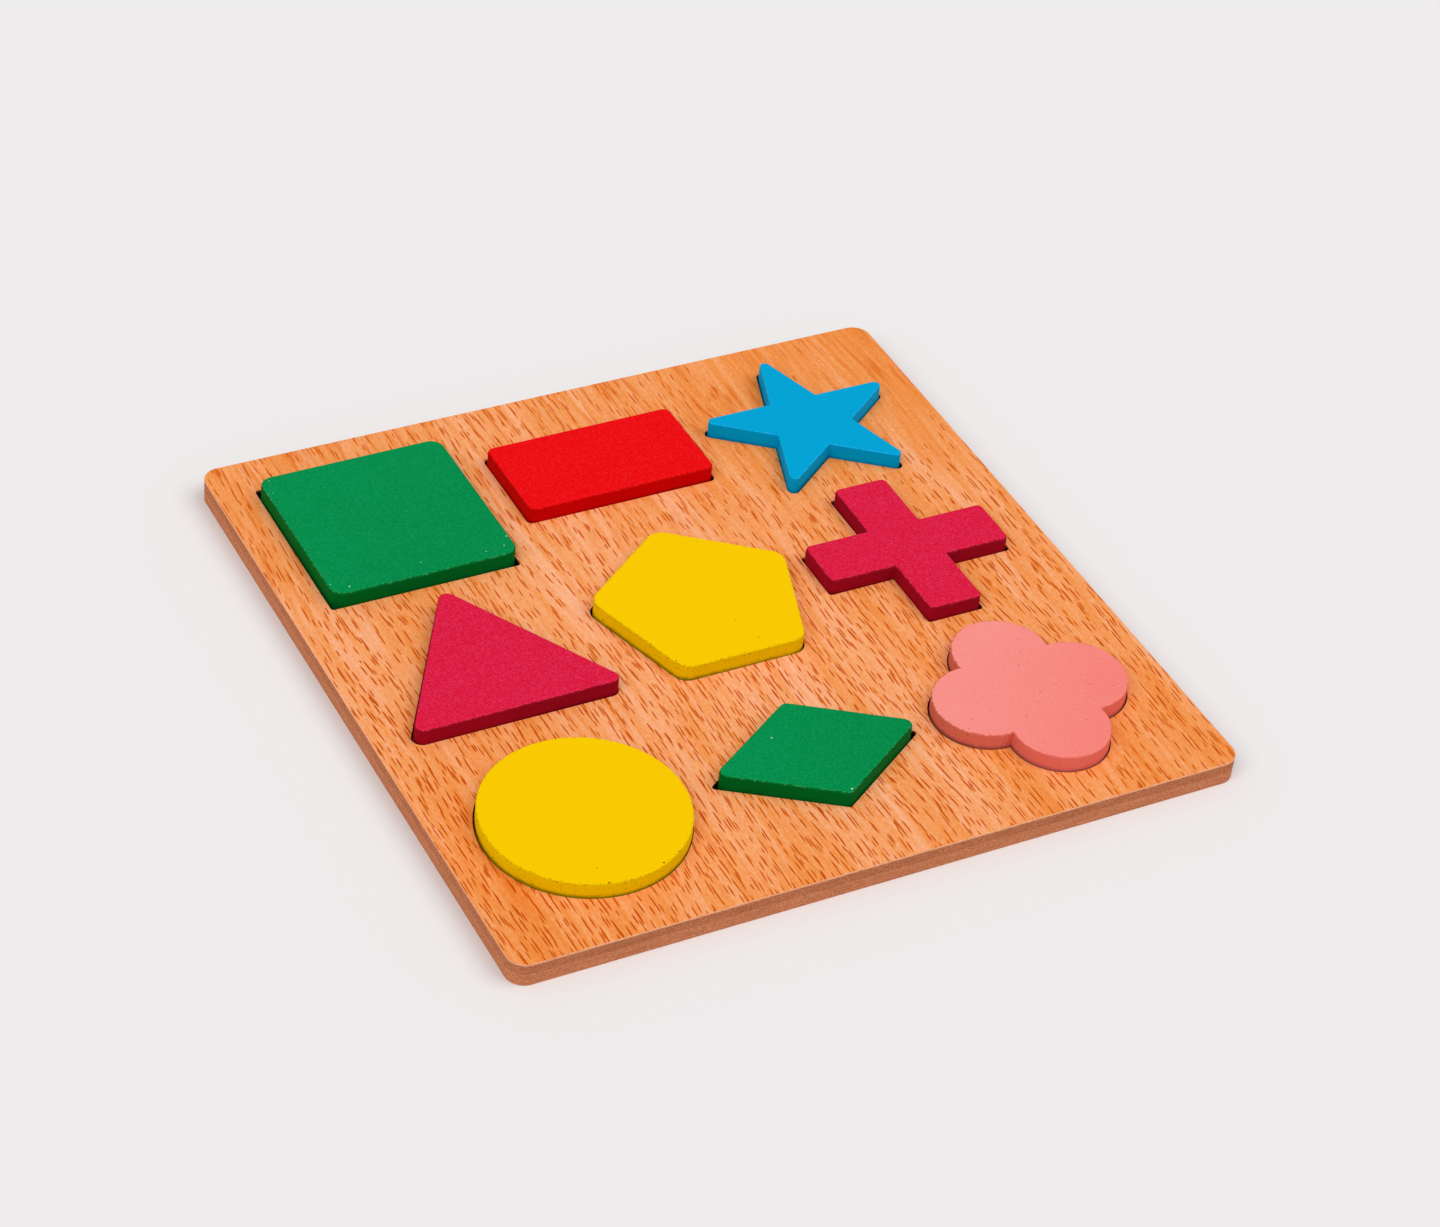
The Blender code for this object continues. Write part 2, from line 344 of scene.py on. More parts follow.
def rhombus():
    corners = rhombus_corners(RHOMBUS_WIDTH, RHOMBUS_DEPTH)
    return cornered(corners, RHOMBUS_CORNER_RADIUS, RECESS_CORNER_RADIUS)


def disc():
    return lambda inset: circle(DISC_DIAMETER / 2 - inset), circle(DISC_DIAMETER / 2 + RECESS_GAP)


def quatrefoil():
    return lambda inset: flower(-inset), flower(RECESS_GAP)


def spread(recesses, axis, shares):
    """How far each recess of a line moves along an axis, with the room they leave on the board shared out."""
    lines = [[point[axis] for point in recess] for recess in recesses]
    spans = [(min(line), max(line)) for line in lines]
    room = BOARD_WIDTH - sum(high - low for low, high in spans)
    reached = -BOARD_WIDTH / 2
    shifts = []
    for (low, high), share in zip(spans, shares):
        reached += share * room
        shifts.append(reached - low)
        reached += high - low
    return shifts


def places(rows):
    """Where each recess lies on the board, from rows of their outlines."""
    row_shares = (FRONT_ROW_SHARES, MIDDLE_ROW_SHARES, BACK_ROW_SHARES)
    column_shares = (LEFT_COLUMN_SHARES, MIDDLE_COLUMN_SHARES, RIGHT_COLUMN_SHARES)
    across = [spread(row, 0, shares) for row, shares in zip(rows, row_shares)]
    along = [spread(column, 1, shares) for column, shares in zip(zip(*rows), column_shares)]
    return [[Vector(place) for place in zip(xs, ys)] for xs, ys in zip(across, zip(*along))]


# Meshes


def finer(outline, counts):
    """The outline with each side cut into its count of steps."""
    found = []
    for here, after, count in zip(outline, outline[1:] + outline[:1], counts):
        found += [here.lerp(after, i / count) for i in range(count)]
    return found


def profile(edge_round):
    """A shape's section from its underside to its top: how far in from the outline, and how high."""
    turns = [math.pi / 2 * i / ROUNDING_SEGMENTS for i in range(ROUNDING_SEGMENTS + 1)]
    low = [(edge_round * (1 - math.sin(turn)), edge_round * (1 - math.cos(turn))) for turn in turns]
    high = [(inset, SHAPE_THICKNESS - height) for inset, height in reversed(low)]
    straight = SHAPE_THICKNESS - 2 * edge_round
    side = [(0, edge_round + straight * i / SIDE_RINGS) for i in range(1, SIDE_RINGS)]
    cap_inset = edge_round + CAP_MARGIN
    return [(cap_inset, 0), *low, *side, *high, (cap_inset, SHAPE_THICKNESS)]


def slab(name, outline_at, place, rest, edge_round, wobble, dents):
    """A painted shape that stands on its recess floor. Its rim is uneven by the wobble, and dented in places.

    It rests off the middle by the first two shares of the gap, and its farthest point is turned by the third.
    On the upper half, the attribute "rim" grows from 0 at the outline to 1 on the flat of the top.
    """
    plain = outline_at(0)
    sides = zip(plain, plain[1:] + plain[:1])
    counts = [max(1, round((after - here).length / SIDE_STEP)) for here, after in sides]
    x_share, y_share, swing_share = rest
    swing = swing_share * RECESS_GAP / max(point.length for point in plain)
    turn = Matrix.Rotation(swing, 2)
    shift = place + RECESS_GAP * Vector((x_share, y_share))

    mesh = bmesh.new()
    rim = mesh.verts.layers.float.new("rim")
    rings = []
    for inset, height in profile(edge_round):
        outline = [turn @ point + shift for point in finer(outline_at(inset), counts)]
        ring = []
        for before, here, after in neighbours(outline):
            along = (after - before).normalized()
            outward = Vector((along.y, -along.x, 0))
            point = Vector((here.x, here.y, BASE_THICKNESS + height))
            pushed = wobble * sum(share * noise.noise(point / stretch) for stretch, share in WAVERS)
            for x, y, radius in dents:
                away = (point - Vector((x, y, SHAPE_TOP))).length
                pushed -= DENT_DEPTH * radius * max(0, 1 - (away / (DENT_REACH * radius)) ** 2)
            made = mesh.verts.new(point + pushed * outward)
            made[rim] = inset / (edge_round + CAP_MARGIN) if height > SHAPE_THICKNESS / 2 else 0
            ring.append(made)
        rings.append(ring)
    for low, high in zip(rings, rings[1:]):
        for i in range(len(low)):
            j = (i + 1) % len(low)
            mesh.faces.new((low[i], low[j], high[j], high[i]))
    mesh.faces.new(list(reversed(rings[0])))
    mesh.faces.new(rings[-1])
    return finished(name, mesh)


def layer(name, outlines, bottom, thickness):
    """A flat layer of the board, from its outer outline and those of its cut-outs, with hairline arrises."""
    curve = bpy.data.curves.new(name, "CURVE")
    curve.dimensions = "2D"
    curve.fill_mode = "BOTH"
    curve.extrude = thickness / 2 - LAYER_EDGE_ROUND
    curve.bevel_depth = LAYER_EDGE_ROUND
    curve.offset = -LAYER_EDGE_ROUND
    curve.bevel_resolution = 1
    for outline in outlines:
        spline = curve.splines.new("POLY")
        spline.points.add(len(outline) - 1)
        for point, place in zip(spline.points, outline):
            point.co = (place.x, place.y, 0, 1)
        spline.use_cyclic_u = True
    solid = bpy.data.objects.new(name, curve)
    bpy.context.scene.collection.objects.link(solid)
    evaluated = solid.evaluated_get(bpy.context.evaluated_depsgraph_get())
    drawn = bpy.data.meshes.new_from_object(evaluated)
    drawn.transform(Matrix.Translation((0, 0, bottom + thickness / 2)))
    mesh = bmesh.new()
    mesh.from_mesh(drawn)
    bmesh.ops.remove_doubles(mesh, verts=mesh.verts, dist=WELD_DISTANCE)
    bpy.data.objects.remove(solid)
    bpy.data.meshes.remove(drawn)
    return finished(name, mesh)


def finished(name, mesh):
    """The mesh as an object of the scene, shaded smooth between its sharp edges."""
    bmesh.ops.recalc_face_normals(mesh, faces=mesh.faces)
    data = bpy.data.meshes.new(name)
    mesh.to_mesh(data)
    mesh.free()
    for face in data.polygons:
        face.use_smooth = True
    data.set_sharp_from_angle(angle=SHARP_ANGLE)
    made = bpy.data.objects.new(name, data)
    bpy.context.scene.collection.objects.link(made)
    weighted = made.modifiers.new("even_shading", "WEIGHTED_NORMAL")
    weighted.keep_sharp = True
    return made


# Finishes


class Finish:
    """A material in the making. Its place is the object's own, in millimetres."""

    def __init__(self, name, roughness, specular):
        self.made = bpy.data.materials.new(name)
        self.made.use_nodes = True
        self.tree = self.made.node_tree
        self.surface = self.tree.nodes["Principled BSDF"]
        self.surface.inputs["Roughness"].default_value = roughness
        self.surface.inputs["Specular IOR Level"].default_value = specular
        inputs = {0: self.put("ShaderNodeTexCoord").outputs["Object"], "Scale": MILLIMETRES}
        self.place = self.put("ShaderNodeVectorMath", inputs, operation="SCALE").outputs[0]

    def put(self, kind, inputs=(), **settings):
        """Adds a node with these settings, and sets or links its inputs."""
        made = self.tree.nodes.new(kind)
        for name, value in settings.items():
            setattr(made, name, value)
        for key, value in dict(inputs).items():
            if isinstance(value, bpy.types.NodeSocket):
                self.tree.links.new(value, made.inputs[key])
            else:
                made.inputs[key].default_value = value
        return made

    def calc(self, operation, *values):
        return self.put("ShaderNodeMath", dict(enumerate(values)), operation=operation).outputs[0]

    def times(self, product, *factors):
        for factor in factors:
            product = self.calc("MULTIPLY", product, factor)
        return product

    def greatest(self, found, *values):
        for value in values:
            found = self.calc("MAXIMUM", found, value)
        return found

    def vector(self, operation, *values):
        return self.put("ShaderNodeVectorMath", dict(enumerate(values)), operation=operation).outputs[0]

    def distance(self, place, other):
        return self.put("ShaderNodeVectorMath", {0: place, 1: other}, operation="DISTANCE").outputs["Value"]

    def split(self, vector):
        return self.put("ShaderNodeSeparateXYZ", {0: vector}).outputs[:]

    def joined(self, x, y, z=0.0):
        return self.put("ShaderNodeCombineXYZ", {0: x, 1: y, 2: z}).outputs[0]

    def cloud(self, vector, rates, detail=2.0, roughness=0.5):
        """Noise from 0 to 1, with about this many lumps to a millimetre along each axis."""
        scaled = self.vector("MULTIPLY", vector, rates)
        inputs = {"Vector": scaled, "Scale": 1.0, "Detail": detail, "Roughness": roughness}
        return self.put("ShaderNodeTexNoise", inputs).outputs["Fac"]

    def ramp(self, value, start, end, low=0.0, high=1.0):
        """Low on the start's side and high on the end's, with a smooth step between them."""
        inputs = {"Value": value, "From Min": start, "From Max": end, "To Min": low, "To Max": high}
        return self.put("ShaderNodeMapRange", inputs, interpolation_type="SMOOTHSTEP").outputs["Result"]

    def mix(self, share, low, high):
        """A blend of two colours, each of them a socket or screen values."""
        low, high = (end if isinstance(end, bpy.types.NodeSocket) else linear(end) for end in (low, high))
        return self.put("ShaderNodeMix", {0: share, 6: low, 7: high}, data_type="RGBA").outputs[2]

    def tones(self, value, stops):
        """A colour for each value, blended between stops of a position and screen values."""
        made = self.put("ShaderNodeValToRGB", {0: value})
        elements = made.color_ramp.elements
        while len(elements) < len(stops):
            elements.new(1)
        for element, (position, _) in zip(elements, stops):
            element.position = position
        for element, (_, colour) in zip(elements, stops):
            element.color = linear(colour)
        return made.outputs["Color"]

    def colour(self, value):
        self.tree.links.new(value, self.surface.inputs["Base Color"])

    def rough(self, value):
        self.tree.links.new(value, self.surface.inputs["Roughness"])

    def bump(self, height, millimetres):
        inputs = {"Height": height, "Strength": 1.0, "Distance": millimetres / MILLIMETRES}
        made = self.put("ShaderNodeBump", inputs)
        self.tree.links.new(made.outputs["Normal"], self.surface.inputs["Normal"])

    def dots(self, centres):
        """1 on the top of a shape within each centre's radius, with a ragged edge."""
        ragged = self.cloud(self.place, (2.3, 2.3, 2.3))
        masks = []
        for x, y, radius in centres:
            away = self.distance(self.place, (x, y, SHAPE_TOP * MILLIMETRES))
            reach = self.calc("MULTIPLY_ADD", ragged, 1.6 * radius, 0.2 * radius)
            masks.append(self.ramp(self.calc("SUBTRACT", reach, away), -0.1 * radius, 0.15 * radius))
        return self.greatest(*masks)


def flecks(finish, place, cell, shortest, longest, width, keep):
    """Pointed dashes along the grain, at most one to a cell: how deep in one a place lies.

    Each column of cells is slid along at random. A dash lies wholly in its cell, and only a share is kept.
    """
    x, y, _ = finish.split(finish.vector("MULTIPLY", place, (1 / cell[0], 1 / cell[1], 0)))
    column = finish.calc("FLOOR", x)
    slid = finish.put("ShaderNodeTexWhiteNoise", {"W": column}, noise_dimensions="1D").outputs["Value"]
    y = finish.calc("MULTIPLY_ADD", slid, FLECK_SLIDE, y)
    here = finish.joined(column, finish.calc("FLOOR", y))
    drawn = finish.put("ShaderNodeTexWhiteNoise", {"Vector": here}, noise_dimensions="2D")
    first, second, third = finish.split(drawn.outputs["Color"])
    length = finish.calc("MULTIPLY_ADD", first, longest - shortest, shortest)
    room = finish.calc("SUBTRACT", cell[1], length)
    aside = finish.times(finish.calc("SUBTRACT", second, 0.5), cell[0] - 1.6 * width)
    ahead = finish.times(finish.calc("SUBTRACT", third, 0.5), room)
    across = finish.times(finish.calc("SUBTRACT", finish.calc("FRACT", x), 0.5), cell[0])
    across = finish.calc("SUBTRACT", across, aside)
    along = finish.times(finish.calc("SUBTRACT", finish.calc("FRACT", y), 0.5), cell[1])
    along = finish.calc("SUBTRACT", along, ahead)
    share = finish.calc("DIVIDE", along, finish.times(length, 0.5))
    drawn_in = finish.calc("POWER", finish.calc("ABSOLUTE", share), FLECK_BLUNTNESS)
    half_width = finish.calc("MULTIPLY_ADD", second, 0.2 * width, 0.4 * width)
    half_width = finish.times(finish.calc("SUBTRACT", 1.0, drawn_in), half_width)
    inside = finish.calc("SUBTRACT", half_width, finish.calc("ABSOLUTE", across))
    chance = finish.calc("FRACT", finish.times(finish.calc("ADD", second, third), FLECK_STIR))
    dropped = finish.calc("GREATER_THAN", chance, keep)
    return finish.calc("SUBTRACT", inside, finish.times(dropped, cell[1]))


def beech():
    """Flat-cut beech: broad lengthwise bands, fine fibres and dark pointed flecks, all along Y."""
    finish = Finish("beech_veneer_satin", roughness=0.5, specular=0.04)
    x, y, _ = finish.split(finish.place)
    slow = finish.cloud(finish.place, (0.022, 0.008, 0))
    quick = finish.cloud(finish.place, (0.30, 0.10, 0), detail=1.0)
    bent = finish.calc("MULTIPLY_ADD", slow, 12.0, x)
    bent = finish.calc("MULTIPLY_ADD", quick, 0.4, bent)
    grain = finish.joined(bent, y)

    bands = finish.cloud(grain, (0.085, 0.004, 0))
    streaks = finish.cloud(grain, (0.55, 0.030, 0))
    grit = finish.cloud(finish.place, (1.7, 0.6, 0), roughness=0.8)
    tone = finish.calc("MULTIPLY_ADD", bands, 0.55, finish.times(streaks, 0.65))
    tone = finish.calc("MULTIPLY_ADD", grit, 0.75, tone)

    # Paler and deeper stretches of the sheet
    left = finish.times(finish.ramp(x, -80, -108), finish.ramp(finish.calc("ABSOLUTE", y), 70, 20))
    front_left = finish.times(finish.ramp(x, -60, -105), finish.ramp(y, 0, -70))
    middle = finish.times(finish.ramp(x, -75, -35), finish.ramp(x, 70, 0), finish.ramp(y, -110, -60))
    back_right = finish.times(finish.ramp(x, 20, 60), finish.ramp(y, 30, 70))
    front_right = finish.times(finish.ramp(x, 30, 90), finish.ramp(y, -60, -100))
    back = finish.ramp(y, 20, 85)
    for stretch, change in (
        (left, 0.09),
        (front_left, -0.07),
        (middle, 0.08),
        (back_right, -0.05),
        (front_right, -0.06),
        (back, -0.06),
    ):
        tone = finish.calc("MULTIPLY_ADD", stretch, change, tone)
    colour = finish.tones(finish.ramp(tone, 0.35, 1.60), BEECH_TONES)

    # Deeper lines, strongest toward the back
    lines = finish.ramp(finish.cloud(grain, (0.6, 0.040, 0), roughness=0.6), 0.50, 0.70)
    strength = finish.calc("MULTIPLY_ADD", back, 0.6, 0.15)
    colour = finish.mix(finish.times(lines, strength), colour, BEECH_LINE)

    # Flecks, fewer of them toward the back and the right
    keep = finish.calc("MULTIPLY_ADD", back_right, -0.25, finish.ramp(y, -20, 75, 0.66, 0.36))
    keep = finish.calc("SUBTRACT", keep, finish.ramp(x, 0, 100, 0.0, 0.10))
    layers = []
    for cell, shortest, longest, width, shift in FLECK_LAYERS:
        shifted = finish.vector("ADD", grain, shift)
        layers.append(flecks(finish, shifted, cell, shortest, longest, width, keep))
    inside = finish.greatest(*layers)
    marks = finish.times(finish.ramp(inside, -0.03, 0.05), finish.ramp(y, -10, 70, 0.95, 0.75))
    colour = finish.mix(finish.ramp(inside, -0.24, 0.0, 0.0, 0.75), colour, FLECK_HALO)
    finish.colour(finish.mix(marks, colour, FLECK_CORE))
    finish.rough(finish.ramp(grit, 0.3, 0.7, 0.46, 0.58))
    height = finish.calc("SUBTRACT", finish.times(grit, 0.4), marks)
    finish.bump(height, millimetres=0.03)
    return finish.made


def raw_edge(name, light, dark):
    """Raw edges of the veneer or of the fibreboard: short fibres that lie flat."""
    finish = Finish(name, roughness=0.85, specular=0.1)
    specks = finish.cloud(finish.place, (1.5, 1.5, 3.2), detail=4.0, roughness=0.7)
    patches = finish.cloud(finish.place, (0.10, 0.10, 0.9))
    colour = finish.mix(finish.ramp(specks, 0.36, 0.64), dark, light)
    finish.colour(finish.mix(finish.ramp(patches, 0.40, 0.75, 0.0, 0.45), colour, dark))
    finish.bump(specks, millimetres=0.08)
    return finish.made


def recess_walls_char_and_shade():
    """Walls of the recesses, dark both from char where the cut-outs were burned through and from painted
    shade of the narrow gaps.
    """
    finish = Finish("recess_wall_char_and_shade", roughness=0.9, specular=0.05)
    char_and_shade = finish.cloud(finish.place, (1.2, 1.2, 0.5), detail=3.0)
    finish.colour(finish.mix(finish.ramp(char_and_shade, 0.3, 0.7), DARK_CHAR_AND_SHADE, PALE_CHAR_AND_SHADE))
    finish.bump(char_and_shade, millimetres=0.05)
    return finish.made


def paint(
    name, centre, chips, marks, top, side, low, arris, grime_and_shade, grain, deeper, ragged, nicks_and_highlight, pinholes, pits
):
    """Satin paint on sawn board: sides partly in painted shade, grime and painted shade low down, pits, nicks
    and a painted highlight on the arris, pale chips and dark marks.
    """
    finish = Finish(name, roughness=0.5, specular=0.01)
    x, y, z = finish.split(finish.place)
    floor, face, peak = (height * MILLIMETRES for height in (BASE_THICKNESS, BOARD_TOP, SHAPE_TOP))

    # The top's colour, which ends at the arris; the sides' colour, which differs from the top partly as
    # painted shade and partly as soaked-in paint; and nicks along that line
    rim = finish.put("ShaderNodeAttribute", attribute_name="rim").outputs["Fac"]
    frayed = finish.cloud(finish.place, (0.75, 0.75, 0.75), detail=3.0, roughness=0.65)
    inward = finish.calc("MULTIPLY_ADD", finish.calc("SUBTRACT", frayed, 0.5), ragged, rim)
    inward = finish.calc("SUBTRACT", inward, finish.ramp(z, peak - 0.6, peak - 1.6))
    level = finish.ramp(inward, 0.16, 0.30)
    upright = finish.calc("SUBTRACT", 1.0, level)
    colour = finish.mix(level, side, top)
    # Nicks along the arris are worn paint, and where their colour is pale they are partly a painted highlight
    # of the edge
    broken = finish.ramp(finish.cloud(finish.place, (1.7, 1.7, 1.7)), 0.50, 0.62)
    line = finish.ramp(finish.calc("ABSOLUTE", finish.calc("SUBTRACT", inward, 0.22)), 0.16, 0.04)
    colour = finish.mix(finish.times(line, broken, nicks_and_highlight), colour, arris)

    # Grime and painted shade on the sides up to a little above the board's face, weaker toward the recess
    # floor, and pits
    grime_and_shade_cloud = finish.cloud(finish.place, (0.45, 0.45, 0.9), detail=3.0, roughness=0.6)
    drop = finish.calc("MULTIPLY_ADD", grime_and_shade_cloud, 1.8, z)
    grime_and_shade_strength = finish.ramp(z, floor, face, 0.3 * grime_and_shade, grime_and_shade)
    lower = finish.times(upright, grime_and_shade_strength, finish.ramp(drop, face + 2.3, face + 0.7))
    colour = finish.mix(lower, colour, low)
    pitted = finish.cloud(finish.place, (1.1, 1.1, 2.0), detail=3.0, roughness=0.65)
    colour = finish.mix(finish.times(upright, pits, finish.ramp(pitted, 0.60, 0.68)), colour, low)

    # Colour deeper toward the front right of each shape and in broad patches of thicker paint, and a fine
    # grain on the top
    broad = finish.cloud(finish.place, (0.05, 0.05, 0.05), detail=3.0)
    peel = finish.cloud(finish.place, (1.8, 1.8, 1.8), detail=3.0, roughness=0.7)
    right = finish.calc("SUBTRACT", finish.calc("SUBTRACT", x, y), (centre.x - centre.y) * MILLIMETRES)
    colour = finish.mix(finish.ramp(right, -30, 35, 0.0, deeper), colour, thick(top))
    colour = finish.mix(finish.ramp(broad, 0.35, 0.70, 0.0, 0.10), colour, thick(top))
    speckle = finish.times(finish.ramp(peel, 0.50, 0.30, 0.0, grain), level)
    colour = finish.mix(speckle, colour, thick(top))
    dust = finish.times(finish.ramp(peel, 0.50, 0.68, 0.0, grain), level)
    colour = finish.mix(dust, colour, dusted(top, 0.12))

    # Pinholes, dark marks and pale chips
    inputs = {"Vector": finish.joined(x, y), "Scale": 0.33, "Randomness": 1.0}
    cells = finish.put("ShaderNodeTexVoronoi", inputs, voronoi_dimensions="2D", feature="F1")
    near = finish.ramp(cells.outputs["Distance"], 0.065, 0.035)
    rare = finish.calc("LESS_THAN", finish.split(cells.outputs["Color"])[0], pinholes)
    holes = finish.times(near, rare, level)
    colour = finish.mix(holes, colour, [(one + other) / 2 for one, other in zip(low, arris)])
    if marks:
        colour = finish.mix(finish.dots(marks), colour, arris)
    if chips:
        colour = finish.mix(finish.dots(chips), colour, dusted(top, 0.8))
    finish.colour(colour)
    finish.rough(finish.ramp(peel, 0.3, 0.7, 0.44, 0.56))
    height = finish.calc("MULTIPLY_ADD", peel, 0.25, broad)
    finish.bump(finish.calc("SUBTRACT", height, holes), millimetres=0.12)
    return finish.made


# Each paint's colours for the top; for the sides, which differ from the top partly as painted shade and
# partly as soaked-in paint; for their lower edge, darkened by grime and painted shade; and for the nicks of
# the arris, which are partly a painted highlight. Then how far the grime and shade cover, how strong the
# grain is, how much deeper the colour is to the front right, how ragged the arris is, how strong its nicks
# and highlight are, the share of cells with a pinhole, and how strong the pits are
PAINTS = {
    "yellow_paint": {
        "top": (250, 202, 0),
        "side": (236, 200, 0),
        "low": (96, 84, 8),
        "arris": (150, 104, 0),
        "grime_and_shade": 0.65,
        "grain": 0.08,
        "deeper": 0.0,
        "ragged": 2.2,
        "nicks_and_highlight": 0.80,
        "pinholes": 0.005,
        "pits": 0.60,
    },
    "green_paint": {
        "top": (2, 143, 78),
        "side": (0, 100, 32),
        "low": (0, 58, 14),
        "arris": (120, 200, 150),
        "grime_and_shade": 0.35,
        "grain": 0.60,
        "deeper": 0.20,
        "ragged": 0.6,
        "nicks_and_highlight": 0.35,
        "pinholes": 0.005,
        "pits": 0.30,
    },
    "red_paint": {
        "top": (237, 10, 16),
        "side": (193, 3, 3),
        "low": (125, 0, 3),
        "arris": (250, 80, 80),
        "grime_and_shade": 0.30,
        "grain": 1.0,
        "deeper": 0.10,
        "ragged": 0.4,
        "nicks_and_highlight": 0.20,
        "pinholes": 0.003,
        "pits": 0.15,
    },
    "blue_paint": {
        "top": (0, 164, 213),
        "side": (0, 165, 224),
        "low": (0, 84, 110),
        "arris": (150, 212, 234),
        "grime_and_shade": 0.30,
        "grain": 0.20,
        "deeper": 0.0,
        "ragged": 0.4,
        "nicks_and_highlight": 0.20,
        "pinholes": 0.005,
        "pits": 0.15,
    },
    "crimson_paint": {
        "top": (221, 28, 69),
        "side": (144, 12, 34),
        "low": (92, 4, 14),
        "arris": (240, 100, 130),
        "grime_and_shade": 0.25,
        "grain": 1.2,
        "deeper": 0.0,
        "ragged": 0.5,
        "nicks_and_highlight": 0.30,
        "pinholes": 0.005,
        "pits": 0.20,
    },
    "pink_paint": {
        "top": (248, 147, 139),
        "side": (210, 108, 88),
        "low": (110, 50, 40),
        "arris": (206, 100, 86),
        "grime_and_shade": 0.65,
        "grain": 0.45,
        "deeper": 0.60,
        "ragged": 1.8,
        "nicks_and_highlight": 0.50,
        "pinholes": 0.08,
        "pits": 0.80,
    },
}

# Rows of shapes from the front to the back. Pale chips and dark marks lie on the rim of the top, each with
# its x, y and radius in millimetres
SHAPE_ROWS = (
    (
        {
            "node": "yellow_disc",
            "body": "disc",
            "outlines": disc(),
            "rest": (0.3, -0.3, 0.0),
            "slot": "yellow_paint",
            "edge_round": 0.0004,
            "wobble": 0.00010,
            "marks": (
                (-78.1, -96.7, 0.35),
                (-61.3, -95.1, 0.35),
                (-91.3, -90.8, 0.25),
                (-85.2, -94.8, 0.25),
                (-70.2, -98.0, 0.20),
                (-101.0, -71.1, 0.30),
            ),
        },
        {
            "node": "green_rhombus",
            "body": "rhombus",
            "outlines": rhombus(),
            "rest": (-0.3, -0.3, -0.2),
            "slot": "green_paint",
            "edge_round": 0.0007,
            "wobble": 0.00005,
            "chips": ((-11.1, -60.8, 0.25), (-0.2, -87.6, 0.30)),
        },
        {
            "node": "pink_flower",
            "body": "flower",
            "outlines": quatrefoil(),
            "rest": (0.2, 0.2, 0.3),
            "slot": "pink_paint",
            "edge_round": 0.0004,
            "wobble": 0.00012,
        },
    ),
    (
        {
            "node": "crimson_triangle",
            "body": "triangle",
            "outlines": triangle(),
            "rest": (0.3, -0.3, 0.4),
            "slot": "crimson_paint",
            "edge_round": 0.0006,
            "wobble": 0.00004,
        },
        {
            "node": "yellow_pentagon",
            "body": "pentagon",
            "outlines": pentagon(),
            "rest": (0.0, -0.5, -0.3),
            "slot": "yellow_paint",
            "edge_round": 0.0004,
            "wobble": 0.00008,
            "marks": ((5.6, -20.7, 0.25), (-21.1, -21.6, 0.25)),
        },
        {
            "node": "crimson_cross",
            "body": "cross",
            "outlines": cross(),
            "rest": (-0.5, -0.4, -0.2),
            "slot": "crimson_paint",
            "edge_round": 0.0009,
            "wobble": 0.00004,
            "chips": ((37.6, -3.6, 0.30),),
        },
    ),
    (
        {
            "node": "green_square",
            "body": "square",
            "outlines": square(),
            "rest": (0.2, -0.1, 0.5),
            "slot": "green_paint",
            "edge_round": 0.0009,
            "wobble": 0.00005,
            "chips": (
                (-97.2, 95.4, 0.16),
                (-98.2, 89.6, 0.14),
                (-98.9, 44.3, 0.18),
                (-94.1, 41.5, 0.22),
                (-42.5, 46.9, 0.22),
                (-44.9, 43.2, 0.18),
                (-50.9, 42.5, 0.16),
                (-70.7, 44.4, 0.14),
            ),
        },
        {
            "node": "red_rectangle",
            "body": "rectangle",
            "outlines": rectangle(),
            "rest": (-0.3, -0.4, 0.4),
            "slot": "red_paint",
            "edge_round": 0.0009,
            "wobble": 0.00004,
        },
        {
            "node": "blue_star",
            "body": "star",
            "outlines": star(),
            "rest": (-0.1, 0.0, -0.4),
            "slot": "blue_paint",
            "edge_round": 0.0004,
            "wobble": 0.00004,
        },
    ),
)


def build_shape(place, node, body, outlines, rest, slot, edge_round, wobble, chips=(), marks=()):
    """One painted shape at its place. Gives the outline of its recess there."""
    outline_at, recess = outlines
    dents = [[length / MILLIMETRES for length in spot] for spot in (*chips, *marks)]
    piece = slab(node + "_painted", outline_at, place, rest, edge_round, wobble, dents)
    piece.data.materials.append(paint(node + "_paint", place, chips, marks, **PAINTS[slot]))
    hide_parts(node)
    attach(piece, body)
    return [point + place for point in recess]


def build_shapes():
    """All shapes, row by row. Gives the outlines of their recesses."""
    place_rows = places([[shape["outlines"][1] for shape in row] for row in SHAPE_ROWS])
    recesses = []
    for row, place_row in zip(SHAPE_ROWS, place_rows):
        recesses += [build_shape(place, **shape) for shape, place in zip(row, place_row)]
    return recesses


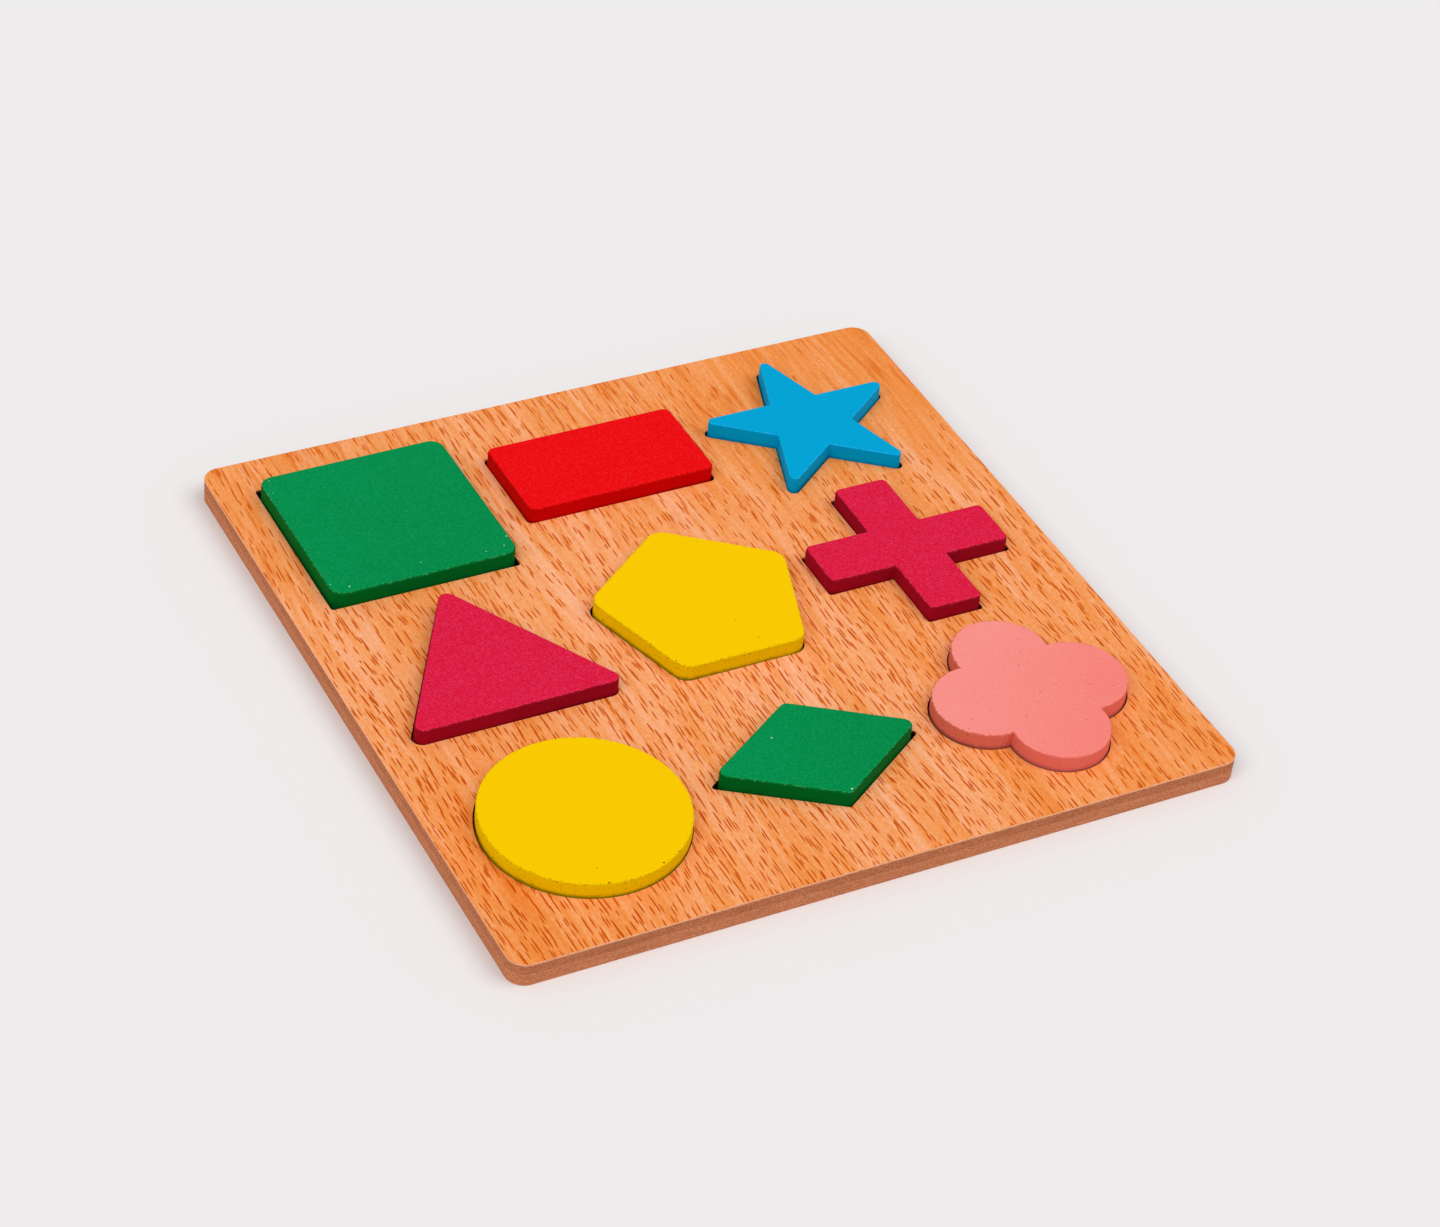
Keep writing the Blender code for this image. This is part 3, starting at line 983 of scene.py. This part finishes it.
def build_board(recesses):
    """The board's three layers, face to face, with the recesses cut out of the upper two."""
    corners = rectangle_corners(BOARD_WIDTH, BOARD_WIDTH)
    outside = rounded(corners, BOARD_CORNER_RADIUS, BOARD_CORNER_RADIUS)
    # Recess walls: char, and painted shade of the narrow gaps
    char_and_shade = recess_walls_char_and_shade()
    upper = raw_edge("upper_board_edge", (208, 132, 92), (165, 94, 60))
    lower = raw_edge("lower_board_edge", (220, 144, 102), (180, 106, 70))
    # The veneer's raw edge, with a pale colour that is partly a painted highlight of its arris catching the
    # light
    pale = raw_edge("veneer_edge_with_highlight", (252, 190, 150), (226, 150, 108))
    layers = (
        ("base_board", [outside], 0, BASE_THICKNESS, lower, lower, "fibreboard"),
        ("frame_board", [outside, *recesses], BASE_THICKNESS, FRAME_THICKNESS, upper, upper, "fibreboard"),
        ("face_veneer", [outside, *recesses], FRAME_TOP, VENEER_THICKNESS, beech(), pale, "beech_veneer"),
    )
    for node, outlines, bottom, thickness, face_finish, edge_finish, slot in layers:
        piece = layer(node + "_layer", outlines, bottom, thickness)
        for finish in (face_finish, edge_finish, char_and_shade):
            piece.data.materials.append(finish)
        for face in piece.data.polygons:
            outer = max(abs(face.center.x), abs(face.center.y)) > BOARD_WIDTH / 2 - BOARD_CORNER_RADIUS
            if outer and abs(face.normal.z) < EDGE_LEVELNESS:
                face.material_index = EDGE_FINISH
            elif abs(face.normal.z) < WALL_LEVELNESS:
                face.material_index = WALL_FINISH
        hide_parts(node)
        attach(piece, "board")


# The room and the camera


def build_floor():
    bpy.ops.mesh.primitive_plane_add(size=FLOOR_SIDE)
    floor = bpy.context.object
    floor.name = "floor"
    made = bpy.data.materials.new("floor_paper")
    made.use_nodes = True
    surface = made.node_tree.nodes["Principled BSDF"]
    surface.inputs["Base Color"].default_value = linear(STUDIO_GREY)
    surface.inputs["Roughness"].default_value = 1
    surface.inputs["Specular IOR Level"].default_value = 0
    floor.data.materials.append(made)


def build_lamp(name, direction, share):
    """A wide soft lamp in this direction, which gives this share of a level surface's light."""
    towards = Vector(direction)
    light = bpy.data.lights.new(name, "SUN")
    light.energy = share * math.pi / towards.normalized().z
    light.angle = LAMP_ANGLE
    lamp = bpy.data.objects.new(name, light)
    lamp.rotation_euler = towards.to_track_quat("Z", "Y").to_euler()
    bpy.context.scene.collection.objects.link(lamp)


def build_world():
    """Even light from all around. The camera and reflections see a plain backdrop instead."""
    world = bpy.data.worlds.new("studio")
    bpy.context.scene.world = world
    world.use_nodes = True
    tree = world.node_tree
    light = tree.nodes["Background"]
    light.inputs["Color"].default_value = (1, 1, 1, 1)
    light.inputs["Strength"].default_value = SURROUNDING_SHARE
    seen = tree.nodes.new("ShaderNodeBackground")
    seen.inputs["Color"].default_value = linear(STUDIO_GREY)
    path = tree.nodes.new("ShaderNodeLightPath")
    either = tree.nodes.new("ShaderNodeMath")
    either.operation = "MAXIMUM"
    tree.links.new(path.outputs["Is Camera Ray"], either.inputs[0])
    tree.links.new(path.outputs["Is Glossy Ray"], either.inputs[1])
    chosen = tree.nodes.new("ShaderNodeMixShader")
    tree.links.new(either.outputs[0], chosen.inputs[0])
    tree.links.new(light.outputs[0], chosen.inputs[1])
    tree.links.new(seen.outputs[0], chosen.inputs[2])
    tree.links.new(chosen.outputs[0], tree.nodes["World Output"].inputs["Surface"])


def build_room():
    build_floor()
    for name, direction, share in LAMPS:
        build_lamp(name, direction, share)
    build_world()


def build_camera():
    lens = bpy.data.cameras.new("camera")
    lens.sensor_width = SENSOR_WIDTH
    lens.lens = FOCAL_LENGTH
    lens.clip_start = CAMERA_CLIP_START
    camera = bpy.data.objects.new("camera", lens)
    camera.location = CAMERA_PLACE
    camera.rotation_euler = CAMERA_TURN
    bpy.context.scene.collection.objects.link(camera)
    bpy.context.scene.camera = camera


build_board(build_shapes())
build_room()
build_camera()
bpy.context.scene.view_settings.view_transform = "Standard"
